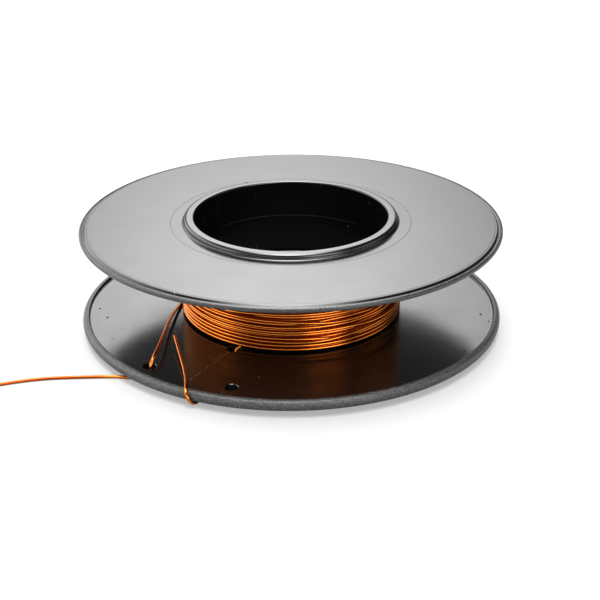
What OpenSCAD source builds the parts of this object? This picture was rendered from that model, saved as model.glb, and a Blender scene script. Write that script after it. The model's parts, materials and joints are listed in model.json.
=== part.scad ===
// Flat two-flange wire spool with a winding of enamelled copper wire.
// The axis of the spool is Z, and z = 0 is the surface that it stands on.

/* [Spool] */
// Height over both collars, foot to top
spool_h = 21.4; // [21:0.1:24]
// Diameter of the bore through the hub
bore_d = 36.4; // [36:0.1:36.6]
// Diameter of the drum under the wire
drum_d = 39.6; // [39.4:0.1:39.8]

/* [Lower flange] */
// Diameter over the lower flange's rim
lower_d = 80; // [79.5:0.1:84]
// Thickness of the lower flange's plate
lower_plate_t = 1.5; // [1.3:0.1:1.8]
// Height of the rounded bead along the lower rim
lower_bead_h = 2.06; // [1.8:0.02:2.4]
// Width of the lower bead, from its inner side to the rim
lower_bead_w = 1.2; // [1:0.1:1.6]

/* [Upper flange] */
// Diameter over the upper flange's rim
upper_d = 79.2; // [78:0.1:84]
// Thickness of the upper flange's plate
upper_plate_t = 1.1; // [1:0.1:1.4]
// Height of the rounded bead along the upper rim
upper_bead_h = 1.1; // [1:0.02:1.4]
// Width of the upper bead, from its inner side to the rim
upper_bead_w = 0.9; // [0.6:0.1:1.2]

/* [Hub] */
// How far each collar stands proud of its flange
collar_h = 1.1; // [0.9:0.1:1.4]
// Diameter of each collar's outer wall
collar_d = 40.2; // [40:0.1:40.4]
// Wall of the spigots that hold the drum tube
spigot_t = 0.75; // [0.6:0.05:0.8]
// Height of the lower spigot's end above the foot
lower_spigot_end = 6.4; // [5:0.1:7]
// Depth of the upper spigot's end below the top
upper_spigot_end = 7.3; // [5:0.1:8]

/* [Wire holes] */
// Diameter of the holes in the lower flange
wire_hole_d = 2.3; // [2.1:0.1:2.4]

/* [Wire] */
// Diameter of the wire over its enamel
wire_d = 0.6; // [0.5:0.05:0.65]
// Gap between the lowest turn and the lower flange
winding_floor_gap = 0.35; // [0.3:0.05:0.8]
// Gap between the highest turn and the upper flange
winding_roof_gap = 0.35; // [0.3:0.05:0.8]

/* [Hidden] */

bore_r = bore_d / 2;
drum_r = drum_d / 2;
collar_r = collar_d / 2;
fit_gap = 0.02;                            // radial gap between nested round pieces
bead_sink = 0.08;                          // upper bead reaches this far below its plate
lower_bead_round = 0.95;
upper_bead_round = 0.5;
plate_bottom = collar_h;                   // outer face of the lower plate
plate_top = collar_h + lower_plate_t;      // inner face of the lower plate
roof_top = spool_h - collar_h;             // outer face of the upper plate
roof_bottom = roof_top - upper_plate_t;    // inner face of the upper plate
spigot_r = bore_r + spigot_t;
collar_inner_round = 0.3;
collar_outer_round = 0.65;
foot_fillet = 0.4;
spigot_round = 0.2;
facets = 96;

plastic = [0.09, 0.09, 0.1];
copper = [0.85, 0.42, 0.12];

// Wire holes: distance from the axis and angle from +X
start_hole = [21.6, -119];
finish_hole = [35.7, -134.7];
spare_hole = [35.1, -107.2];

// The wire from its bare start end, over the rim and under the flange to the winding
start_route = [
    [-21.2, -17.3, 4.5], [-20.4, -21.0, 4.1], [-19.6, -24.7, 3.9], [-18.9, -28.0, 3.7],
    [-18.4, -31.0, 3.6], [-18.1, -33.4, 3.6], [-18.0, -34.7, 3.5], [-18.0, -35.7, 3.1],
    [-17.7, -36.3, 2.2], [-17.2, -36.2, 1.3], [-16.6, -35.5, 0.7], [-15.4, -32.8, 0.5],
    [-13.9, -28.4, 0.4], [-12.4, -24.0, 0.4], [-11.4, -21.2, 0.4], [-10.8, -19.6, 0.7],
    [-10.4, -18.9, 1.3], [-10.1, -18.5, 1.9], [-9.7, -18.2, 2.5], [-9.1, -18.0, 2.9],
    [-7.9, -18.5, 3.1], [-6.1, -19.2, 3.2]
];
// The wire from the winding to the outer hole
lead_route = [
    [-20.4, 4.4, 3.1], [-21.1, 1.6, 3.0], [-21.6, -1.0, 3.1], [-22.2, -4.2, 3.4],
    [-22.7, -7.8, 3.8], [-23.1, -12.0, 4.1], [-23.3, -15.8, 4.4], [-23.6, -20.0, 4.6],
    [-23.9, -22.8, 4.5], [-24.3, -24.3, 4.1], [-24.7, -25.2, 3.3], [-25.0, -25.6, 2.3]
];
// The wire from the outer hole, under the rim and along the table to its bare end
tail_route = [
    [-25.0, -25.6, 2.3], [-25.3, -25.7, 1.3], [-26.2, -25.8, 0.7], [-27.9, -25.6, 0.4],
    [-31.1, -25.0, 0.3], [-36.4, -25.0, 0.3], [-44.4, -25.6, 0.3], [-51.3, -27.5, 0.3],
    [-57.0, -30.0, 0.3], [-62.0, -33.0, 0.3]
];
wire_sides = 8;
ring_gap = 1.8;                            // distance between the rings of a swept wire
frame_axis = [0.7071, 0, -0.7071];         // no stretch of wire runs along this direction

// ---------- the hub and the flanges ----------

// Half section of a collar that stands on y = 0, with a rounded top and a filleted foot
module collar_section(h) {
    translate([bore_r, 0]) square([collar_r - bore_r, h - collar_outer_round]);
    translate([bore_r, 0]) square([collar_inner_round, h - collar_inner_round]);
    translate([bore_r + collar_inner_round, 0])
        square([collar_r - collar_outer_round - bore_r - collar_inner_round, h]);
    translate([bore_r + collar_inner_round, h - collar_inner_round])
        circle(collar_inner_round, $fn = facets);
    translate([collar_r - collar_outer_round, h - collar_outer_round])
        circle(collar_outer_round, $fn = facets);
    difference() {
        translate([collar_r - foot_fillet, 0]) square([2 * foot_fillet, foot_fillet]);
        translate([collar_r + foot_fillet, foot_fillet]) circle(foot_fillet, $fn = facets);
    }
}

// Half section of a rim bead whose rounded outer side ends at x = 0
module bead_section(w, h, outer_round) {
    translate([-w, 0]) square([w - outer_round, h]);
    translate([-outer_round, outer_round]) square([outer_round, h - 2 * outer_round]);
    intersection() {
        translate([-w, 0]) square([w, h]);
        for (y = [outer_round, h - outer_round])
            translate([-outer_round, y]) circle(outer_round, $fn = facets);
    }
}

// Half section of a spigot that rises from y = 0, with a rounded end
module spigot_section(h) {
    width = spigot_t - fit_gap;
    translate([bore_r, 0]) square([width, h - spigot_round]);
    translate([bore_r + spigot_round, 0]) square([width - 2 * spigot_round, h]);
    for (x = [spigot_round, width - spigot_round])
        translate([bore_r + x, h - spigot_round]) circle(spigot_round, $fn = facets);
}

// A hole for the wire, through a plate from z = low to z = high
module wire_hole(place, low, high) {
    rotate([0, 0, place[1]])
        translate([place[0], 0, low - 1]) cylinder(h = high - low + 2, d = wire_hole_d, $fn = facets);
}

module lower_flange() {
    color(plastic) difference() {
        rotate_extrude($fn = facets) {
            translate([bore_r, plate_bottom])
                square([lower_d / 2 - lower_bead_w - bore_r, lower_plate_t]);
            translate([lower_d / 2, plate_bottom])
                bead_section(lower_bead_w, lower_bead_h, lower_bead_round);
            translate([0, plate_bottom]) mirror([0, 1]) collar_section(collar_h);
            translate([0, plate_top]) spigot_section(lower_spigot_end - plate_top);
        }
        for (place = [start_hole, finish_hole, spare_hole])
            wire_hole(place, plate_bottom, plate_top);
    }
}

module drum_tube() {
    color(plastic) translate([0, 0, plate_top]) rotate_extrude($fn = facets)
        translate([spigot_r, 0]) square([drum_r - spigot_r, roof_bottom - plate_top]);
}

module upper_flange() {
    color(plastic) rotate_extrude($fn = facets) {
        translate([bore_r, roof_bottom])
            square([upper_d / 2 - upper_bead_w - bore_r, upper_plate_t]);
        translate([upper_d / 2, roof_bottom - bead_sink])
            bead_section(upper_bead_w, upper_bead_h, upper_bead_round);
        translate([0, roof_top]) collar_section(collar_h);
        translate([0, roof_bottom]) mirror([0, 1])
            spigot_section(roof_bottom - spool_h + upper_spigot_end);
    }
}

// ---------- the winding ----------

// One layer of turns as a ring; layer 0 lies on the drum
module winding_layer(layer) {
    low = plate_top + winding_floor_gap;
    high = roof_bottom - winding_roof_gap;
    inner = drum_r + layer * wire_d + fit_gap;
    color(copper) translate([0, 0, low]) rotate_extrude($fn = facets)
        translate([inner, 0]) square([wire_d - fit_gap, high - low]);
}

module winding_inner_layer() { winding_layer(0); }

module winding_outer_layer() { winding_layer(1); }

// ---------- the free ends of the wire ----------

function unit(v) = v / norm(v);

// Direction of a route at its point i
function heading(route, i) =
    let (n = len(route) - 1)
    i == 0 ? unit(route[1] - route[0]) :
    i == n ? unit(route[n] - route[n - 1]) :
    unit(unit(route[i] - route[i - 1]) + unit(route[i + 1] - route[i]));

// Smooth curve between points i and i + 1 of a route, for t from 0 to 1
function between(route, i, t) =
    let (a = route[i], b = route[i + 1], span = norm(b - a),
         u = heading(route, i) * span, v = heading(route, i + 1) * span)
    (2 * t ^ 3 - 3 * t ^ 2 + 1) * a + (t ^ 3 - 2 * t ^ 2 + t) * u
    + (3 * t ^ 2 - 2 * t ^ 3) * b + (t ^ 3 - t ^ 2) * v;

// Centres of the rings along a route
function centres(route) = [
    for (i = [0 : len(route) - 2])
        let (steps = max(1, round(norm(route[i + 1] - route[i]) / ring_gap)))
        for (k = [0 : steps - 1]) between(route, i, k / steps),
    route[len(route) - 1]
];

// A ring of points round a centre, across the direction along
function ring(centre, along) =
    let (side = unit(cross(along, frame_axis)), up = cross(along, side))
    [for (k = [0 : wire_sides - 1])
        centre + wire_d / 2 * (cos(k * 360 / wire_sides) * side + sin(k * 360 / wire_sides) * up)];

// A closed round wire swept along a route
module wire(route) {
    path = centres(route);
    last = len(path) - 1;
    points = [for (i = [0 : last]) each ring(path[i], heading(path, i))];
    walls = [
        for (i = [0 : last - 1], k = [0 : wire_sides - 1])
            let (a = i * wire_sides + k, b = i * wire_sides + (k + 1) % wire_sides,
                 c = a + wire_sides, d = b + wire_sides)
            each [[a, b, d], [a, d, c]]
    ];
    first_cap = [for (k = [wire_sides - 1 : -1 : 0]) k];
    last_cap = [for (k = [0 : wire_sides - 1]) last * wire_sides + k];
    polyhedron(points, concat(walls, [first_cap, last_cap]));
}

module start_tail() { color(copper) wire(start_route); }

module finish_lead() { color(copper) wire(lead_route); }

module finish_tail() { color(copper) wire(tail_route); }

lower_flange();
drum_tube();
upper_flange();
winding_inner_layer();
winding_outer_layer();
start_tail();
finish_lead();
finish_tail();
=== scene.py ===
"""Builds the visual model of a flat two-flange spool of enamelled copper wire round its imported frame."""

import json
import math

import bpy
import numpy as np
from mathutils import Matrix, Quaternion, Vector, noise


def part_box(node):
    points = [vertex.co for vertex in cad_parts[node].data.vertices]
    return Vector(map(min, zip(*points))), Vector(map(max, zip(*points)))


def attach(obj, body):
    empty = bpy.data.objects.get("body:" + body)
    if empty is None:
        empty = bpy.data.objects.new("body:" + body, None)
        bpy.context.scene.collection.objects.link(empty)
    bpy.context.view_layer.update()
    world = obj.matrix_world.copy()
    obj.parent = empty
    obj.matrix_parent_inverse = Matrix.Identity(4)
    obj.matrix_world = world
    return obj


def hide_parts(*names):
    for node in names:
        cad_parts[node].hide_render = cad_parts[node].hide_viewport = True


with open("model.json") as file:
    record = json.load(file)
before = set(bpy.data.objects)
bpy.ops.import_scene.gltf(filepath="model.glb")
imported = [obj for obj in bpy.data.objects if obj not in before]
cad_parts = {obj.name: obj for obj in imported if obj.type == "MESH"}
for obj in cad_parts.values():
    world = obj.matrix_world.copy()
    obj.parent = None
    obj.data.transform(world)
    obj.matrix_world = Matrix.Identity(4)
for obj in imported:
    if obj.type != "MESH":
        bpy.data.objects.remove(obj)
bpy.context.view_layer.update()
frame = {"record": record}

bl_info = {
    "name": "Wire Spool",
    "version": (1, 0, 0),
    "blender": (4, 5, 0),
    "location": "View3D > Sidebar > Wire Spool",
    "description": "A black moulded spool of enamelled copper wire, with a plain studio round it",
    "category": "Mesh",
}

MM = 0.001
MOUNTS = {mount["name"]: mount for mount in frame["record"]["mounts"]}
LOWER_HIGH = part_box("lower_flange")[1]
UPPER_LOW, UPPER_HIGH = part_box("upper_flange")
DRUM_LOW, DRUM_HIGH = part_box("drum_tube")
TURNS_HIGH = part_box("winding_inner_layer")[1]

SPIN_STEPS = 240                    # flats round each turned piece
ARC_STEP = math.radians(15)         # angle between the points of a rounded corner
SMOOTH_ANGLE = math.radians(35)     # edges sharper than this stay sharp
MERGE_DISTANCE = 1e-6


# ---------- sizes and colours that a user would change ----------

class HubSettings(bpy.types.PropertyGroup):
    """Sizes of the collars, the spigots and the drum"""

    bore_radius: bpy.props.FloatProperty(
        name="Bore radius",
        description="Radius of the bore through both flanges",
        default=MOUNTS["spindle_bore"]["dims"]["r_mm"] * MM,
        unit="LENGTH",
    )
    collar_radius: bpy.props.FloatProperty(
        name="Collar radius",
        description="Radius of each collar's outer wall",
        default=0.0201,
        unit="LENGTH",
    )
    collar_height: bpy.props.FloatProperty(
        name="Collar height",
        description="How far each collar stands proud of its flange",
        default=0.0011,
        unit="LENGTH",
    )
    collar_rounding: bpy.props.FloatProperty(
        name="Collar rounding",
        description="Rounding of each collar's outer edge",
        default=0.00065,
        unit="LENGTH",
    )
    collar_fillet: bpy.props.FloatProperty(
        name="Collar fillet",
        description="Radius of the fillet at the foot of each collar",
        default=0.0004,
        unit="LENGTH",
    )
    spigot_radius: bpy.props.FloatProperty(
        name="Spigot radius",
        description="Outer radius of the spigots that hold the drum tube",
        default=0.01893,
        unit="LENGTH",
    )
    tube_inner_radius: bpy.props.FloatProperty(
        name="Tube inner radius",
        description="Inner radius of the drum tube",
        default=0.01895,
        unit="LENGTH",
    )


class FlangeSettings(bpy.types.PropertyGroup):
    """Sizes of the flanges' rims, grooves and wire holes"""

    lower_bead_height: bpy.props.FloatProperty(
        name="Lower bead height",
        description="Height of the rounded bead along the lower rim",
        default=0.00206,
        unit="LENGTH",
    )
    lower_bead_width: bpy.props.FloatProperty(
        name="Lower bead width",
        description="Width of the lower bead, from its inner side to the rim",
        default=0.0012,
        unit="LENGTH",
    )
    lower_bead_rounding: bpy.props.FloatProperty(
        name="Lower bead rounding",
        description="Rounding of the lower bead's outer side",
        default=0.00095,
        unit="LENGTH",
    )
    upper_bead_height: bpy.props.FloatProperty(
        name="Upper bead height",
        description="Height of the rounded bead along the upper rim",
        default=0.0011,
        unit="LENGTH",
    )
    groove_depth: bpy.props.FloatProperty(
        name="Groove depth",
        description="Depth of the groove between the upper bead and its flange",
        default=0.00035,
        unit="LENGTH",
    )
    ring_radius: bpy.props.FloatProperty(
        name="Ring radius",
        description="Radius of the faint line round the upper collar",
        default=0.0226,
        unit="LENGTH",
    )
    hole_radius: bpy.props.FloatProperty(
        name="Wire hole radius",
        description="Radius of the three holes that the wire can be led through",
        default=MOUNTS["spare_wire_hole"]["dims"]["r_mm"] * MM,
        unit="LENGTH",
    )
    hole_chamfer: bpy.props.FloatProperty(
        name="Wire hole chamfer",
        description="Width of the chamfer at both ends of each wire hole",
        default=0.00012,
        unit="LENGTH",
    )


class WireSettings(bpy.types.PropertyGroup):
    """Gauge and lay of the wire"""

    diameter: bpy.props.FloatProperty(
        name="Wire diameter",
        description="Diameter of the wire over its enamel",
        default=0.0006,
        unit="LENGTH",
    )
    inner_turns: bpy.props.IntProperty(
        name="Inner turns",
        description="Turns in the layer that lies on the drum",
        default=25,
    )
    outer_turns: bpy.props.IntProperty(
        name="Outer turns",
        description="Whole turns in the layer that lies on the first one",
        default=22,
    )
    wander: bpy.props.FloatProperty(
        name="Wander",
        description="How far an outer turn strays from an even lay",
        default=0.0008,
        unit="LENGTH",
    )


class ColourSettings(bpy.types.PropertyGroup):
    """Colours of the plastic, the wire and the studio"""

    plastic: bpy.props.FloatVectorProperty(
        name="Plastic",
        description="Colour of the moulded plastic",
        default=(0.004, 0.004, 0.0045),
        size=3,
        subtype="COLOR",
    )
    copper: bpy.props.FloatVectorProperty(
        name="Copper",
        description="Colour of the wire under its clear enamel",
        default=(0.66, 0.23, 0.035),
        size=3,
        subtype="COLOR",
    )
    enamel: bpy.props.FloatVectorProperty(
        name="Enamel",
        description="Tint of the clear enamel on the wire",
        default=(1.0, 0.93, 0.65),
        size=3,
        subtype="COLOR",
    )
    floor: bpy.props.FloatVectorProperty(
        name="Floor",
        description="Colour of the table under the spool",
        default=(0.4, 0.4, 0.4),
        size=3,
        subtype="COLOR",
    )


class StudioSettings(bpy.types.PropertyGroup):
    """The camera and the soft light"""

    camera_distance: bpy.props.FloatProperty(
        name="Camera distance",
        description="Distance from the camera to the foot of the spool's axis",
        default=0.2568,
        unit="LENGTH",
    )
    camera_elevation: bpy.props.FloatProperty(
        name="Camera elevation",
        description="Angle of the camera above the table",
        default=math.radians(25.27),
        subtype="ANGLE",
    )
    camera_roll: bpy.props.FloatProperty(
        name="Camera roll",
        description="Turn of the camera round its own line of sight",
        default=math.radians(-0.45),
        subtype="ANGLE",
    )
    lens: bpy.props.FloatProperty(
        name="Lens",
        description="Focal length of the camera in millimetres",
        default=79.1,
    )
    shift_right: bpy.props.FloatProperty(
        name="Shift right",
        description="Shift of the lens to the right, as a share of the frame's width",
        default=0.0142,
    )
    shift_up: bpy.props.FloatProperty(
        name="Shift up",
        description="Shift of the lens upwards, as a share of the frame's width",
        default=0.028,
    )
    light: bpy.props.FloatProperty(
        name="Light",
        description="Strength of the soft light all round",
        default=1.0,
    )


# ---------- helpers for meshes ----------

def start_alone():
    """Leaves edit mode and selects nothing, so that an operator acts on new work only."""
    if bpy.context.object and bpy.context.object.mode != "OBJECT":
        bpy.ops.object.mode_set(mode="OBJECT")
    bpy.ops.object.select_all(action="DESELECT")


def named(name):
    """The active object, with that name on it and on its mesh."""
    piece = bpy.context.object
    piece.name = name
    piece.data.name = name
    return piece


def rounded(corners):
    """Points of a closed outline whose corners, each (radius, height, rounding), become arcs."""
    places = [Vector((r, z)) for r, z, _ in corners]
    points = []
    for i, (_, _, rounding) in enumerate(corners):
        here = places[i]
        back = (places[i - 1] - here).normalized()
        ahead = (places[(i + 1) % len(places)] - here).normalized()
        half = back.angle(ahead) / 2
        if rounding == 0 or half > math.radians(89):
            points.append(here)
            continue
        centre = here + (back + ahead).normalized() * rounding / math.sin(half)
        first = here + back * rounding / math.tan(half) - centre
        turn = first.angle_signed(here + ahead * rounding / math.tan(half) - centre)
        steps = max(2, math.ceil(abs(turn) / ARC_STEP))
        for k in range(steps + 1):
            angle = -turn * k / steps
            points.append(centre + Vector((
                first.x * math.cos(angle) - first.y * math.sin(angle),
                first.x * math.sin(angle) + first.y * math.cos(angle),
            )))
    return points


def turned(name, corners):
    """A closed outline of rounded corners, drawn in the plane y = 0 and spun once round the axis."""
    points = [Vector((p.x, 0, p.y)) for p in rounded(corners)]
    start_alone()
    bpy.ops.mesh.primitive_circle_add(vertices=3, radius=MM)
    piece = named(name)
    bpy.ops.object.mode_set(mode="EDIT")
    bpy.ops.mesh.select_mode(type="VERT")
    bpy.ops.mesh.select_all(action="SELECT")
    bpy.ops.mesh.merge(type="CENTER")
    bpy.ops.transform.translate(value=points[0])
    for here, ahead in zip(points, points[1:] + points[:1]):
        bpy.ops.mesh.extrude_region_move(TRANSFORM_OT_translate={"value": ahead - here})
    bpy.ops.mesh.select_all(action="SELECT")
    bpy.ops.mesh.remove_doubles(threshold=MERGE_DISTANCE)
    bpy.ops.mesh.spin(steps=SPIN_STEPS, angle=math.tau, center=(0, 0, 0), axis=(0, 0, 1))
    bpy.ops.mesh.select_all(action="SELECT")
    bpy.ops.mesh.remove_doubles(threshold=MERGE_DISTANCE)
    bpy.ops.mesh.normals_make_consistent(inside=False)
    bpy.ops.object.mode_set(mode="OBJECT")
    return piece


def drill(piece, place, low, high, radius, chamfer):
    """Cuts a hole with a chamfer at both ends through a piece, at (distance from the axis, angle)."""
    centre = Vector((place[0] * math.cos(place[1]), place[0] * math.sin(place[1]), 0))
    start_alone()
    bpy.ops.mesh.primitive_cylinder_add(
        vertices=40, radius=radius, depth=high - low - 2 * chamfer,
        location=centre + Vector((0, 0, (low + high) / 2)),
    )
    cutter = named("cutter")
    for side in (1, -1):
        bpy.ops.object.mode_set(mode="EDIT")
        bpy.ops.mesh.select_mode(type="FACE")
        bpy.ops.mesh.select_all(action="DESELECT")
        bpy.ops.object.mode_set(mode="OBJECT")
        for face in cutter.data.polygons:
            face.select = face.normal.z * side > 0.9
        bpy.ops.object.mode_set(mode="EDIT")
        # One ring of the chamfer at the plate's face, and one beyond it
        for _ in range(2):
            bpy.ops.mesh.extrude_region_move(
                TRANSFORM_OT_translate={"value": (0, 0, side * chamfer)}
            )
            grown = (radius + chamfer) / radius
            bpy.ops.transform.resize(value=(grown, grown, 1))
    bpy.ops.object.mode_set(mode="OBJECT")
    start_alone()
    bpy.context.view_layer.objects.active = piece
    piece.select_set(True)
    cut = piece.modifiers.new("hole", "BOOLEAN")
    cut.object = cutter
    cut.operation = "DIFFERENCE"
    cut.solver = "EXACT"
    bpy.ops.object.modifier_apply(modifier=cut.name)
    mesh = cutter.data
    bpy.data.objects.remove(cutter)
    bpy.data.meshes.remove(mesh)


def finish_plastic(piece, node, material):
    """Smooths a moulding, gives it its materials, and puts it in place of its CAD node."""
    start_alone()
    bpy.context.view_layer.objects.active = piece
    piece.select_set(True)
    bpy.ops.object.shade_smooth_by_angle(angle=SMOOTH_ANGLE)
    weighting = piece.modifiers.new("flat faces lead", "WEIGHTED_NORMAL")
    weighting.keep_sharp = True
    bpy.ops.object.modifier_apply(modifier=weighting.name)
    piece.data.materials.append(material)
    # The walls inside the bore get a second material, with painted shade
    piece.data.materials.append(bore_painted_shade())
    inside = bpy.context.scene.spool_hub.tube_inner_radius + MERGE_DISTANCE
    for face in piece.data.polygons:
        in_bore = face.center.xy.length < inside and abs(face.normal.z) < 0.3
        face.material_index = 1 if in_bore else 0
    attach(piece, "root")
    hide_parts(node)


# ---------- helpers for materials ----------

def new_group(name, inputs, outputs):
    """An empty shader group with those sockets, (label, kind, value) in and (label, kind) out."""
    group = bpy.data.node_groups.new(name, "ShaderNodeTree")
    for label, kind, value in inputs:
        socket = group.interface.new_socket(label, in_out="INPUT", socket_type=f"NodeSocket{kind}")
        if value is not None:
            socket.default_value = value
    for label, kind in outputs:
        group.interface.new_socket(label, in_out="OUTPUT", socket_type=f"NodeSocket{kind}")
    return group, group.nodes.new("NodeGroupInput"), group.nodes.new("NodeGroupOutput")


def connect(tree, value, socket):
    """Links a socket, or sets a plain value."""
    if isinstance(value, bpy.types.NodeSocket):
        tree.links.new(value, socket)
    else:
        socket.default_value = value


def calculate(tree, operation, *values):
    """The result of a Math node."""
    node = tree.nodes.new("ShaderNodeMath")
    node.operation = operation
    for value, socket in zip(values, node.inputs):
        connect(tree, value, socket)
    return node.outputs[0]


def ramp(tree, value, low, high, start=0.0, end=1.0):
    """A smooth change from start to end as the value goes from low to high."""
    node = tree.nodes.new("ShaderNodeMapRange")
    node.interpolation_type = "SMOOTHSTEP"
    for given, socket in zip((value, low, high, start, end), node.inputs):
        connect(tree, given, socket)
    return node.outputs[0]


def band(tree, value, low, high, edge):
    """1 between low and high, and 0 further out than a soft edge."""
    return calculate(
        tree, "MULTIPLY",
        ramp(tree, value, low - edge, low + edge),
        ramp(tree, value, high - edge, high + edge, 1.0, 0.0),
    )


def clouds(tree, place, scale, detail=2.0, roughness=0.5):
    """Noise from 0 to 1."""
    node = tree.nodes.new("ShaderNodeTexNoise")
    connect(tree, place, node.inputs["Vector"])
    connect(tree, scale, node.inputs["Scale"])
    connect(tree, detail, node.inputs["Detail"])
    connect(tree, roughness, node.inputs["Roughness"])
    return node.outputs["Fac"]


def blend(tree, share, first, second):
    """A colour between two others."""
    node = tree.nodes.new("ShaderNodeMix")
    node.data_type = "RGBA"
    connect(tree, share, node.inputs["Factor"])
    for colour, label in ((first, "A"), (second, "B")):
        socket = next(s for s in node.inputs if s.name == label and s.type == "RGBA")
        if not isinstance(colour, bpy.types.NodeSocket):
            colour = (*colour, 1)
        connect(tree, colour, socket)
    return next(s for s in node.outputs if s.type == "RGBA")


def use_group(tree, group, **values):
    """Places a group; its inputs are given by label, with _ for each space."""
    node = tree.nodes.new("ShaderNodeGroup")
    node.node_tree = group
    for label, value in values.items():
        connect(tree, value, node.inputs[label.replace("_", " ")])
    return node


def bump(tree, height, distance, strength=1.0, normal=None):
    """A Bump node's normal; the height is in units of the distance."""
    node = tree.nodes.new("ShaderNodeBump")
    node.inputs["Strength"].default_value = strength
    node.inputs["Distance"].default_value = distance
    tree.links.new(height, node.inputs["Height"])
    if normal:
        tree.links.new(normal, node.inputs["Normal"])
    return node.outputs["Normal"]


def object_place(tree):
    """The Object coordinates."""
    return tree.nodes.new("ShaderNodeTexCoord").outputs["Object"]


def ring_place_group():
    """Where a point is round the axis: its distance from it and its height, in millimetres."""
    group, start, end = new_group(
        "place_round_axis",
        [("Place", "Vector", None)],
        [("Radius", "Float"), ("Height", "Float")],
    )
    split = group.nodes.new("ShaderNodeSeparateXYZ")
    group.links.new(start.outputs["Place"], split.inputs[0])
    x, y, z = split.outputs
    squares = calculate(
        group, "ADD", calculate(group, "MULTIPLY", x, x), calculate(group, "MULTIPLY", y, y)
    )
    radius = calculate(group, "MULTIPLY", calculate(group, "SQRT", squares), 1000.0)
    group.links.new(radius, end.inputs["Radius"])
    group.links.new(calculate(group, "MULTIPLY", z, 1000.0), end.inputs["Height"])
    return group


def grain_group():
    """Texture of the mould: coarse grain for rims and a faint ripple for flats."""
    group, start, end = new_group(
        "mould_grain",
        [("Place", "Vector", None), ("Grain Scale", "Float", 3600.0), ("Ripple Scale", "Float", 420.0)],
        [("Grain", "Float"), ("Ripple", "Float"), ("Patches", "Float")],
    )
    place = start.outputs["Place"]
    group.links.new(clouds(group, place, start.outputs["Grain Scale"], 3.0, 0.65), end.inputs["Grain"])
    group.links.new(clouds(group, place, start.outputs["Ripple Scale"], 1.0, 0.4), end.inputs["Ripple"])
    group.links.new(clouds(group, place, 110.0, 3.0, 0.6), end.inputs["Patches"])
    return group


def specks_group():
    """Small separate specks: a share of the cells of a grid holds one each."""
    group, start, end = new_group(
        "specks",
        [("Place", "Vector", None), ("Scale", "Float", 500.0), ("Share", "Float", 0.1),
         ("Size", "Float", 0.1)],
        [("Mask", "Float")],
    )
    cells = group.nodes.new("ShaderNodeTexVoronoi")
    group.links.new(start.outputs["Place"], cells.inputs["Vector"])
    group.links.new(start.outputs["Scale"], cells.inputs["Scale"])
    pick = group.nodes.new("ShaderNodeSeparateColor")
    group.links.new(cells.outputs["Color"], pick.inputs[0])
    chosen = calculate(group, "LESS_THAN", pick.outputs[0], start.outputs["Share"])
    size = calculate(group, "MULTIPLY", start.outputs["Size"], pick.outputs[1])
    near = calculate(group, "LESS_THAN", cells.outputs["Distance"], size)
    group.links.new(calculate(group, "MULTIPLY", chosen, near), end.inputs["Mask"])
    return group


def hairlines_group():
    """Thin light rub marks that run one way, broken into short lengths."""
    group, start, end = new_group(
        "hairlines",
        [("Place", "Vector", None), ("Turn", "Float", 0.0), ("Share", "Float", 0.7)],
        [("Mask", "Float")],
    )
    turn = group.nodes.new("ShaderNodeVectorRotate")
    turn.rotation_type = "Z_AXIS"
    group.links.new(start.outputs["Place"], turn.inputs["Vector"])
    group.links.new(start.outputs["Turn"], turn.inputs["Angle"])
    stretch = group.nodes.new("ShaderNodeVectorMath")
    stretch.operation = "MULTIPLY"
    stretch.inputs[1].default_value = (90.0, 5200.0, 90.0)
    group.links.new(turn.outputs[0], stretch.inputs[0])
    lines = clouds(group, stretch.outputs[0], 1.0, 1.0, 0.5)
    thin = calculate(group, "GREATER_THAN", lines, start.outputs["Share"])
    group.links.new(thin, end.inputs["Mask"])
    return group


def scratch_group():
    """One fine straight scratch from a start, along a turned X axis, broken up here and there."""
    group, start, end = new_group(
        "single_scratch",
        [("Place", "Vector", None), ("Start", "Vector", None), ("Turn", "Float", 0.0),
         ("Length", "Float", 0.01), ("Width", "Float", 0.0001)],
        [("Mask", "Float")],
    )
    offset = group.nodes.new("ShaderNodeVectorMath")
    offset.operation = "SUBTRACT"
    group.links.new(start.outputs["Place"], offset.inputs[0])
    group.links.new(start.outputs["Start"], offset.inputs[1])
    turn = group.nodes.new("ShaderNodeVectorRotate")
    turn.rotation_type = "Z_AXIS"
    group.links.new(offset.outputs[0], turn.inputs["Vector"])
    negative = calculate(group, "MULTIPLY", start.outputs["Turn"], -1.0)
    group.links.new(negative, turn.inputs["Angle"])
    split = group.nodes.new("ShaderNodeSeparateXYZ")
    group.links.new(turn.outputs[0], split.inputs[0])
    along, across, _ = split.outputs
    begun = calculate(group, "GREATER_THAN", along, 0.0)
    unended = calculate(group, "LESS_THAN", along, start.outputs["Length"])
    narrow = calculate(group, "LESS_THAN", calculate(group, "ABSOLUTE", across), start.outputs["Width"])
    faded = ramp(group, clouds(group, start.outputs["Place"], 900.0), 0.35, 0.6, 0.2, 1.0)
    inside = calculate(group, "MULTIPLY", calculate(group, "MULTIPLY", begun, unended), narrow)
    group.links.new(calculate(group, "MULTIPLY", inside, faded), end.inputs["Mask"])
    return group


def surface_groups():
    """The shared effect groups, built once."""
    if "place_round_axis" not in bpy.data.node_groups:
        ring_place_group()
        grain_group()
        specks_group()
        hairlines_group()
        scratch_group()
    return bpy.data.node_groups


def new_material(name):
    """A material with its Principled shader, ready to be wired."""
    material = bpy.data.materials.new(name)
    material.use_nodes = True
    return material, material.node_tree, material.node_tree.nodes["Principled BSDF"]


NO_RIM = 60         # a radius beyond the spool, in mm, for a piece with no grained rim
NO_LAND = 10        # a radius inside the bore, in mm, for a piece with no glossier collar


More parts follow.
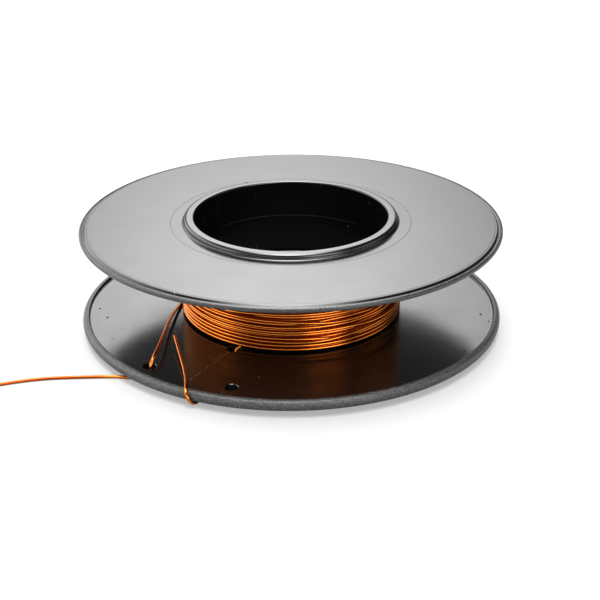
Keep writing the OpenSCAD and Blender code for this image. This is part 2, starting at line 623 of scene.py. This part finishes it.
def moulded_black(
    name, rim_start, land_end, flat_roughness, rim_roughness,
    tone=1.0, shine=0.5, worn=0.0, pitted=(22.35, 22.85), scratch=None,
):
    """Black moulded plastic: glossy flats, a grained rim and a glossier collar.

    The rim is beyond rim_start and the collar within land_end, both radii in mm. The specks of the
    grain are as light as worn, and pitted is the ring where fine pits lie.
    """
    colour = tuple(c * tone for c in bpy.context.scene.spool_colours.plastic)
    groups = surface_groups()
    material, tree, shader = new_material(name)
    place = object_place(tree)
    where = use_group(tree, groups["place_round_axis"], Place=place)
    grain = use_group(tree, groups["mould_grain"], Place=place)
    dust = use_group(tree, groups["specks"], Place=place, Scale=520.0, Share=0.06, Size=0.08)
    lint = use_group(tree, groups["specks"], Place=place, Scale=1500.0, Share=0.02, Size=0.1)
    rubs = use_group(tree, groups["hairlines"], Place=place, Turn=0.5, Share=0.77)
    rim = ramp(tree, where.outputs["Radius"], rim_start - 0.1, rim_start + 0.1)
    land = ramp(tree, where.outputs["Radius"], land_end - 0.1, land_end + 0.1, 1.0, 0.0)

    light_bits = calculate(tree, "MAXIMUM", dust.outputs["Mask"], lint.outputs["Mask"])
    rubbed = calculate(tree, "MULTIPLY", rubs.outputs["Mask"], 0.06)
    if scratch:
        line = use_group(tree, groups["single_scratch"], Place=place, **scratch)
        rubbed = calculate(tree, "MAXIMUM", rubbed, calculate(tree, "MULTIPLY", line.outputs["Mask"], 0.35))
    body = blend(tree, grain.outputs["Patches"], colour, tuple(c * 1.5 for c in colour))
    speckle = ramp(tree, grain.outputs["Grain"], 0.4, 0.62, 0.1, 0.9)
    grey = (worn, worn, worn * 0.96)
    edge = blend(tree, calculate(tree, "MULTIPLY", rim, speckle), body, grey)
    marked = blend(tree, calculate(tree, "MAXIMUM", light_bits, rubbed), edge, (0.55, 0.54, 0.5))
    tree.links.new(marked, shader.inputs["Base Color"])

    varied = ramp(tree, grain.outputs["Patches"], 0.25, 0.75, flat_roughness - 0.02, flat_roughness + 0.03)
    smoother = calculate(tree, "MULTIPLY", land, -0.45)
    flat = calculate(tree, "MULTIPLY", varied, calculate(tree, "ADD", smoother, 1.0))
    rough_rim = calculate(tree, "MULTIPLY", rim, rim_roughness - flat_roughness)
    ring = band(tree, where.outputs["Radius"], *pitted, 0.05)
    pits = use_group(tree, groups["specks"], Place=place, Scale=1000.0, Share=0.12, Size=0.3)
    ring_pits = calculate(tree, "MULTIPLY", ring, pits.outputs["Mask"])
    rough_dust = calculate(tree, "MAXIMUM", calculate(tree, "MULTIPLY", light_bits, 0.4), ring_pits)
    total = calculate(tree, "ADD", calculate(tree, "ADD", flat, rough_rim), rough_dust)
    tree.links.new(total, shader.inputs["Roughness"])

    ripple = bump(tree, grain.outputs["Ripple"], 0.00002, 0.25)
    coarse = calculate(tree, "MULTIPLY", grain.outputs["Grain"], rim)
    grained = bump(tree, coarse, 0.0001, 0.9, ripple)
    tree.links.new(bump(tree, light_bits, 0.00004, 0.7, grained), shader.inputs["Normal"])
    shader.inputs["IOR"].default_value = 1.7
    shader.inputs["Specular IOR Level"].default_value = shine
    return material


def bore_painted_shade():
    """The black of the walls inside the bore, darker and less glossy than the flats: painted shade of the
    bore.
    """
    if "bore_painted_shade_plastic" in bpy.data.materials:
        return bpy.data.materials["bore_painted_shade_plastic"]
    # Painted shade: tone halves the colour and shine cuts the reflection of the same plastic inside the
    # bore
    return moulded_black("bore_painted_shade_plastic", NO_RIM, NO_LAND, 0.3, 0.3, tone=0.5, shine=0.06)


def enamelled_copper():
    """Bright copper under clear amber enamel; the outer end on the table is rougher, and darker and less
    yellow with painted shade.
    """
    colours = bpy.context.scene.spool_colours
    copper = tuple(colours.copper)
    groups = surface_groups()
    material, tree, shader = new_material("enamelled_copper")
    place = object_place(tree)
    where = use_group(tree, groups["place_round_axis"], Place=place)
    grain = use_group(tree, groups["mould_grain"], Place=place, Grain_Scale=2400.0, Ripple_Scale=700.0)
    nicks = use_group(tree, groups["specks"], Place=place, Scale=900.0, Share=0.02, Size=0.2)
    # Painted shade: beyond the lower rim the wire on the table is darkened and less yellow, and it is also
    # made rougher
    shaded_tail = ramp(tree, where.outputs["Radius"], 39.5, 43.0)
    deep = tuple(c * s for c, s in zip(copper, (0.92, 0.8, 0.75)))
    shaded_tail_colour = tuple(c * s for c, s in zip(copper, (0.55, 0.25, 0.15)))
    body = blend(tree, ramp(tree, grain.outputs["Patches"], 0.3, 0.7), deep, copper)
    body_with_shaded_tail = blend(tree, shaded_tail, body, shaded_tail_colour)
    marks = calculate(tree, "MULTIPLY", nicks.outputs["Mask"], 0.5)
    tree.links.new(blend(tree, marks, body_with_shaded_tail, (0.75, 0.45, 0.25)), shader.inputs["Base Color"])
    varied = ramp(tree, grain.outputs["Ripple"], 0.3, 0.7, 0.16, 0.21)
    rougher = calculate(tree, "ADD", varied, calculate(tree, "MULTIPLY", shaded_tail, 0.08))
    tree.links.new(rougher, shader.inputs["Roughness"])
    shader.inputs["Metallic"].default_value = 1.0
    shader.inputs["Coat Weight"].default_value = 0.2
    shader.inputs["Coat Roughness"].default_value = 0.05
    shader.inputs["Coat IOR"].default_value = 1.5
    shader.inputs["Coat Tint"].default_value = (*colours.enamel, 1)
    tree.links.new(bump(tree, grain.outputs["Ripple"], 0.000006, 0.3), shader.inputs["Normal"])
    return material


# ---------- the wire ----------

# The wire from its bare start end, over the rim and under the flange to the winding
START_ROUTE = [Vector(p) for p in (
    (-0.0212, -0.0173, 0.0045), (-0.0204, -0.0210, 0.0041), (-0.0196, -0.0247, 0.0039),
    (-0.0189, -0.0280, 0.0037), (-0.0184, -0.0310, 0.0036), (-0.0181, -0.0334, 0.0036),
    (-0.0180, -0.0347, 0.0035), (-0.0180, -0.0357, 0.0031), (-0.0177, -0.0363, 0.0022),
    (-0.0172, -0.0362, 0.0013), (-0.0166, -0.0355, 0.0007), (-0.0154, -0.0328, 0.0005),
    (-0.0139, -0.0284, 0.0004), (-0.0124, -0.0240, 0.0004), (-0.0114, -0.0212, 0.0004),
    (-0.0108, -0.0196, 0.0007), (-0.0104, -0.0189, 0.0013), (-0.0101, -0.0185, 0.0019),
    (-0.0097, -0.0182, 0.0025), (-0.0091, -0.0180, 0.0029), (-0.0079, -0.0185, 0.0031),
    (-0.0061, -0.0192, 0.0032),
)]
# The wire from the winding to the outer hole, and on along the table to its bare end
FINISH_ROUTE = [Vector(p) for p in (
    (-0.0204, 0.0044, 0.0031), (-0.0211, 0.0016, 0.0030), (-0.0216, -0.0010, 0.0031),
    (-0.0222, -0.0042, 0.0034), (-0.0227, -0.0078, 0.0038), (-0.0231, -0.0120, 0.0041),
    (-0.0233, -0.0158, 0.0044), (-0.0236, -0.0200, 0.0046), (-0.0239, -0.0228, 0.0045),
    (-0.0243, -0.0243, 0.0041), (-0.0247, -0.0252, 0.0033), (-0.0250, -0.0256, 0.0023),
    (-0.0253, -0.0257, 0.0013), (-0.0262, -0.0258, 0.0007), (-0.0279, -0.0256, 0.0004),
    (-0.0311, -0.0250, 0.0003), (-0.0364, -0.0250, 0.0003), (-0.0444, -0.0256, 0.0003),
    (-0.0513, -0.0275, 0.0003), (-0.0570, -0.0300, 0.0003), (-0.0620, -0.0330, 0.0003),
)]
ROUTE_GAP = 0.0004                  # distance between the points of a free stretch
TURN_STEPS = 72                     # points round one turn
# Where the turn after an outer turn rides over it: turn, then angle and reach in degrees
CROSSINGS = (
    (5, -62, 30), (8, -28, 26), (11, -122, 32), (14, -46, 30), (17, -34, 28), (19, -72, 34),
    (3, 60, 28), (9, 95, 30), (13, 140, 28), (16, 175, 30),
)
SWAPPED = 0.4                       # share of a turn for which the two then stay swapped


def heading(route, i):
    """Direction of a route at its point i."""
    before = (route[i] - route[i - 1]).normalized() if i else Vector()
    after = (route[i + 1] - route[i]).normalized() if i + 1 < len(route) else Vector()
    return (before + after).normalized()


def smooth(route):
    """Points along the smooth curve through a route's points."""
    points = []
    for i in range(len(route) - 1):
        a, b = route[i], route[i + 1]
        span = (b - a).length
        u, v = heading(route, i) * span, heading(route, i + 1) * span
        steps = max(3, round(span / ROUTE_GAP))
        for k in range(steps):
            t = k / steps
            points.append(
                (2 * t**3 - 3 * t**2 + 1) * a + (t**3 - 2 * t**2 + t) * u
                + (3 * t**2 - 2 * t**3) * b + (t**3 - t**2) * v
            )
    return points + [route[-1]]


def settled(heights, least):
    """Heights of the outer turns, moved apart until each lies at least that far above the next."""
    heights = heights.copy()
    for _ in range(200):
        over = least - (heights[:-TURN_STEPS] - heights[TURN_STEPS:])
        push = np.clip(over, 0, None) / 2
        heights[:-TURN_STEPS] += push * 0.9
        heights[TURN_STEPS:] -= push * 0.9
        heights[1:-1] = 0.5 * heights[1:-1] + 0.25 * (heights[:-2] + heights[2:])
    return heights


def round_axis(radius, angle, height):
    """The point at that distance and angle from the axis."""
    return Vector((radius * math.cos(angle), radius * math.sin(angle), height))


def soft_step(run, centre, half):
    """0 before a centre and 1 after it, changing softly within about half of a crossing."""
    return 0.5 + 0.5 * np.tanh((run - centre) / (half / 3))


def inner_layer(wire, first_angle, on_drum, top):
    """Points of the turns that climb the drum from the end of the start route."""
    start = START_ROUTE[-1]
    count = wire.inner_turns * TURN_STEPS
    points = []
    for i in range(count):
        settling = min(1, i / (TURN_STEPS / 6))
        radius = on_drum + (start.xy.length - on_drum) * (1 - settling)
        height = start.z + (top - start.z) * i / count
        points.append(round_axis(radius, first_angle + i * math.tau / TURN_STEPS, height))
    return points


def crossings(wire, run, first_angle, step):
    """How far the crossings move the outer turns: along the axis, and out from it."""
    swap = wire.diameter * 0.99
    shift, lift = np.zeros(len(run)), np.zeros(len(run))
    for turn, angle, reach in CROSSINGS:
        at = turn * TURN_STEPS + (math.radians(angle) - first_angle) % math.tau / step
        half = reach / 360 * TURN_STEPS
        back = at + SWAPPED * TURN_STEPS
        shift += swap * (
            soft_step(run, at + TURN_STEPS, half) - soft_step(run, back + TURN_STEPS, half)
            - soft_step(run, at, half) + soft_step(run, back, half)
        )
        for centre in (at + TURN_STEPS, back + TURN_STEPS):
            lift += wire.diameter * 0.95 * np.exp(-(((run - centre) / (half * 0.55)) ** 2))
    return shift, np.clip(lift, 0, wire.diameter)


def outer_layer(wire, first_angle, on_drum, top):
    """Points of the turns that go down again on the inner layer, to the finish route."""
    finish = FINISH_ROUTE[0]
    part_turn = (math.atan2(finish.y, finish.x) - first_angle) % math.tau
    count = wire.outer_turns * TURN_STEPS + round(part_turn / math.tau * TURN_STEPS)
    step = (wire.outer_turns * math.tau + part_turn) / count
    run = np.arange(count + 1)

    low = finish.z + wire.diameter / 4
    even = top + (low - top) * np.minimum(1, run / (count - 0.7 * TURN_STEPS))
    stray = np.array([
        noise.noise(Vector((3.1 * math.cos(i * step), 3.1 * math.sin(i * step), i / TURN_STEPS * 1.7)))
        for i in run
    ])
    ends = np.clip(np.minimum(run, count - run) / (0.6 * TURN_STEPS), 0, 1)
    heights = settled(even + wire.wander * stray * ends, wire.diameter * 0.985)
    heights = np.minimum(heights, top)
    last_quarter = np.clip((run - (count - TURN_STEPS / 4)) / (TURN_STEPS / 4), 0, 1)
    heights += (finish.z - heights[-1]) * last_quarter

    shift, lift = crossings(wire, run, first_angle, step)
    heights += shift
    arriving = np.clip(run / (TURN_STEPS / 5), 0, 1)
    leaving = np.clip((run - (count - TURN_STEPS / 8)) / (TURN_STEPS / 8), 0, 1)
    radii = on_drum + wire.diameter * 0.96 * arriving + lift
    radii += (finish.xy.length - radii[-1]) * leaving**2
    return [
        round_axis(radii[i], first_angle + i * step, heights[i]) for i in range(count)
    ]


def winding_points(wire):
    """Points along the turns: up the drum in the inner layer and down again in the outer one."""
    start = START_ROUTE[-1]
    first_angle = math.atan2(start.y, start.x)
    on_drum = DRUM_HIGH.x + wire.diameter / 2 + 0.00001
    top = TURNS_HIGH.z - wire.diameter / 2
    return (
        inner_layer(wire, first_angle, on_drum, top)
        + outer_layer(wire, first_angle, on_drum, top)
    )


class SPOOL_OT_wire(bpy.types.Operator):
    """Lay the wire in one length: start tail, inner layer, outer layer, lead and finish tail"""

    bl_idname = "spool.wire"
    bl_label = "Magnet Wire"

    def execute(self, context):
        wire = context.scene.spool_wire
        points = smooth(START_ROUTE)[:-1] + winding_points(wire) + smooth(FINISH_ROUTE)
        start_alone()
        curve = bpy.data.curves.new("magnet_wire", "CURVE")
        curve.dimensions = "3D"
        curve.bevel_depth = wire.diameter / 2
        curve.bevel_resolution = 4
        curve.use_fill_caps = True
        line = curve.splines.new("POLY")
        line.points.add(len(points) - 1)
        for place, point in zip(points, line.points):
            point.co = (*place, 1)
        line.use_smooth = True
        piece = bpy.data.objects.new("magnet_wire", curve)
        context.collection.objects.link(piece)
        curve.materials.append(enamelled_copper())
        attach(piece, "root")
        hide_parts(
            "winding_inner_layer", "winding_outer_layer",
            "start_tail", "finish_lead", "finish_tail",
        )
        return {"FINISHED"}


# ---------- the mouldings ----------

# The lower flange's wire holes: distance from the axis and angle
SPARE = MOUNTS["spare_wire_hole"]["pos_m"]
WIRE_HOLES = (
    (0.0216, math.radians(-119)),       # where the wire starts
    (0.0357, math.radians(-134.7)),     # where it ends
    (math.hypot(SPARE[0], SPARE[1]), math.atan2(SPARE[1], SPARE[0])),
)


def fine_line(radius, top, depth):
    """Corners of a narrow V cut in a top face, from its outer edge to its inner edge."""
    half, rounding = 0.00004, 0.00002
    return [
        (radius + half, top, rounding),
        (radius, top - depth, rounding),
        (radius - half, top, rounding),
    ]


class SPOOL_OT_lower_flange(bpy.types.Operator):
    """Turn the lower flange with its foot collar, bead and spigot, and drill the wire holes"""

    bl_idname = "spool.lower_flange"
    bl_label = "Lower Flange"

    def execute(self, context):
        hub, flange = context.scene.spool_hub, context.scene.spool_flange
        width = flange.lower_bead_width
        rim = LOWER_HIGH.x
        bottom, top = hub.collar_height, DRUM_LOW.z
        bead_high = bottom + flange.lower_bead_height
        corners = [
            (hub.bore_radius, 0, 0.0003),
            (hub.collar_radius, 0, hub.collar_rounding),
            (hub.collar_radius, bottom, hub.collar_fillet),
            (rim, bottom, flange.lower_bead_rounding),
            (rim, bead_high, flange.lower_bead_rounding),
            (rim - width, bead_high, 0.0002),
            (rim - width - 0.00006, top, 0.0002),
            (hub.spigot_radius, top, 0.0001),
            (hub.spigot_radius, LOWER_HIGH.z, 0.0002),
            (hub.bore_radius, LOWER_HIGH.z, 0.0002),
        ]
        piece = turned("lower_flange_moulding", corners)
        for place in WIRE_HOLES:
            drill(piece, place, bottom, top, flange.hole_radius, flange.hole_chamfer)
        finish_plastic(
            piece, "lower_flange",
            moulded_black(
                "lower_flange_plastic", (rim - width) / MM, 20.6, 0.17, 0.38,
                shine=0.45, worn=0.085, pitted=(35.2, 38.2),
                scratch={
                    "Start": (-0.0115, -0.0202, 0), "Turn": math.radians(-120),
                    "Length": 0.0122, "Width": 0.00005,
                },
            ),
        )
        return {"FINISHED"}


class SPOOL_OT_drum_tube(bpy.types.Operator):
    """Turn the drum tube that joins the two flanges"""

    bl_idname = "spool.drum_tube"
    bl_label = "Drum Tube"

    def execute(self, context):
        hub = context.scene.spool_hub
        corners = [
            (hub.tube_inner_radius, DRUM_LOW.z, 0.0001),
            (DRUM_HIGH.x, DRUM_LOW.z, 0.0001),
            (DRUM_HIGH.x, DRUM_HIGH.z, 0.0001),
            (hub.tube_inner_radius, DRUM_HIGH.z, 0.0001),
        ]
        piece = turned("drum_tube_moulding", corners)
        finish_plastic(
            piece, "drum_tube",
            moulded_black("drum_tube_plastic", NO_RIM, NO_LAND, 0.3, 0.3),
        )
        return {"FINISHED"}


class SPOOL_OT_upper_flange(bpy.types.Operator):
    """Turn the upper flange with its collar, rim lip, groove and spigot"""

    bl_idname = "spool.upper_flange"
    bl_label = "Upper Flange"

    def execute(self, context):
        hub, flange = context.scene.spool_hub, context.scene.spool_flange
        rim = UPPER_HIGH.x
        bottom, top = DRUM_HIGH.z, UPPER_HIGH.z - hub.collar_height
        bead_low = bottom - 0.00008     # the bead reaches a little below the plate
        bead_high = bead_low + flange.upper_bead_height
        crown = bead_high - 0.0001      # the bead's top, a little below that of its solid
        groove = top - flange.groove_depth
        corners = [
            (hub.bore_radius, UPPER_HIGH.z, 0.0003),
            (hub.bore_radius, UPPER_LOW.z, 0.0002),
            (hub.spigot_radius, UPPER_LOW.z, 0.0002),
            (hub.spigot_radius, bottom, 0.0001),
            (rim - 0.001, bottom, 0.00005),
            (rim - 0.0009, bead_low, 0.00005),
            (rim, bead_low, 0.0005),
            (rim, crown, 0.00045),
            (rim - 0.00048, crown, 0.00005),
            (rim - 0.00056, groove, 0.0001),
            (rim - 0.00078, groove, 0.0001),
            (rim - 0.00108, top, 0.00018),
            *fine_line(rim - 0.00147, top, 0.00005),
            *fine_line(flange.ring_radius, top, 0.00004),
            (hub.collar_radius, top, hub.collar_fillet),
            (hub.collar_radius, UPPER_HIGH.z, hub.collar_rounding),
        ]
        piece = turned("upper_flange_moulding", corners)
        finish_plastic(
            piece, "upper_flange",
            moulded_black(
                "upper_flange_plastic", (rim - 0.0007) / MM, 20.0, 0.19, 0.28,
                worn=0.04, pitted=(22.35, 22.85),
            ),
        )
        return {"FINISHED"}


# ---------- the studio ----------

def sky(settings):
    """Soft light: an arch from behind the spool to above it, both sides, and a light at the right."""
    world = bpy.data.worlds.new("soft_studio")
    bpy.context.scene.world = world
    world.use_nodes = True
    tree = world.node_tree
    split = tree.nodes.new("ShaderNodeSeparateXYZ")
    tree.links.new(tree.nodes.new("ShaderNodeTexCoord").outputs["Generated"], split.inputs[0])
    right, back, up = split.outputs
    degrees = {
        "rise": calculate(tree, "ARCSINE", up),
        "side": calculate(tree, "ARCSINE", right),
        "over": calculate(tree, "ARCTAN2", up, back),
        "turn": calculate(tree, "ARCTAN2", right, calculate(tree, "MULTIPLY", back, -1.0)),
    }
    degrees = {name: calculate(tree, "DEGREES", value) for name, value in degrees.items()}
    # Each patch of light: its strength, then two angles with their low end, high end and soft edge
    patches = (
        (7.8, ("over", 20, 60, 12), ("side", -10, 7.5, 16)),
        (14.0, ("over", 64, 120, 10), ("side", -18, 14, 16)),
        (0.5, ("over", -2, 10, 4), ("side", -42, 32, 8)),
        (2.8, ("rise", 0, 40, 10), ("turn", -150, -60, 15)),
        (4.5, ("rise", 4, 34, 8), ("turn", 16, 54, 10)),
        (1.5, ("rise", 0, 22, 8), ("turn", -75, 20, 20)),
        (1.5, ("rise", 0, 22, 8), ("turn", 65, 105, 15)),
    )
    total = 0.1
    for strength, first, second in patches:
        shares = [band(tree, degrees[name], *span) for name, *span in (first, second)]
        patch = calculate(tree, "MULTIPLY", calculate(tree, "MULTIPLY", *shares), strength)
        total = calculate(tree, "ADD", patch, total)
    background = tree.nodes["Background"]
    background.inputs["Color"].default_value = (1, 1, 1, 1)
    tree.links.new(
        calculate(tree, "MULTIPLY", total, settings.light), background.inputs["Strength"]
    )


class SPOOL_OT_studio(bpy.types.Operator):
    """Set up the floor, the soft light and the camera"""

    bl_idname = "spool.studio"
    bl_label = "Studio"

    def execute(self, context):
        studio = context.scene.spool_studio
        start_alone()
        bpy.ops.mesh.primitive_plane_add(size=6)
        floor = named("floor")
        material, tree, shader = new_material("pale_table")
        paper = clouds(tree, object_place(tree), 800.0)
        colour = tuple(context.scene.spool_colours.floor)
        tone = blend(tree, paper, tuple(c * 0.99 for c in colour), colour)
        # The camera sees a floor that gives back less light and glows, so its shadows stay faint
        seen = tree.nodes.new("ShaderNodeLightPath").outputs["Is Camera Ray"]
        tone = blend(tree, seen, tone, tuple(c * 0.6 for c in colour))
        tree.links.new(tone, shader.inputs["Base Color"])
        shader.inputs["Emission Color"].default_value = (1, 1, 1, 1)
        tree.links.new(calculate(tree, "MULTIPLY", seen, 0.42), shader.inputs["Emission Strength"])
        shader.inputs["Roughness"].default_value = 0.7
        shader.inputs["Specular IOR Level"].default_value = 0.2
        floor.data.materials.append(material)
        sky(studio)

        eye = Vector((0, -math.cos(studio.camera_elevation), math.sin(studio.camera_elevation)))
        lens = bpy.data.cameras.new("camera")
        lens.lens = studio.lens
        lens.sensor_width = 36
        lens.shift_x = studio.shift_right
        lens.shift_y = studio.shift_up
        lens.clip_start = 0.01
        lens.clip_end = 10
        camera = bpy.data.objects.new("camera", lens)
        context.collection.objects.link(camera)
        camera.location = eye * studio.camera_distance
        camera.rotation_mode = "QUATERNION"
        roll = Quaternion((0, 0, 1), studio.camera_roll)
        camera.rotation_quaternion = (-eye).to_track_quat("-Z", "Y") @ roll
        context.scene.camera = camera
        context.scene.view_settings.view_transform = "Standard"
        context.scene.view_settings.gamma = 0.85
        return {"FINISHED"}


# ---------- the add-on ----------

class SPOOL_PT_panel(bpy.types.Panel):
    """Lists the steps that build the spool"""

    bl_label = "Wire Spool"
    bl_idname = "SPOOL_PT_panel"
    bl_space_type = "VIEW_3D"
    bl_region_type = "UI"
    bl_category = "Wire Spool"

    def draw(self, context):
        for operator in OPERATORS:
            self.layout.operator(operator.bl_idname)


OPERATORS = (
    SPOOL_OT_studio,
    SPOOL_OT_wire,
    SPOOL_OT_lower_flange,
    SPOOL_OT_drum_tube,
    SPOOL_OT_upper_flange,
)
SETTINGS = {
    "spool_hub": HubSettings,
    "spool_flange": FlangeSettings,
    "spool_wire": WireSettings,
    "spool_colours": ColourSettings,
    "spool_studio": StudioSettings,
}


def register():
    for name, group in SETTINGS.items():
        bpy.utils.register_class(group)
        setattr(bpy.types.Scene, name, bpy.props.PointerProperty(type=group))
    for item in (*OPERATORS, SPOOL_PT_panel):
        bpy.utils.register_class(item)


def unregister():
    for item in (SPOOL_PT_panel, *reversed(OPERATORS)):
        bpy.utils.unregister_class(item)
    for name, group in reversed(SETTINGS.items()):
        delattr(bpy.types.Scene, name)
        bpy.utils.unregister_class(group)


def main():
    register()
    bpy.ops.spool.studio()
    bpy.ops.spool.wire()
    bpy.ops.spool.lower_flange()
    bpy.ops.spool.drum_tube()
    bpy.ops.spool.upper_flange()


if __name__ == "__main__":
    main()
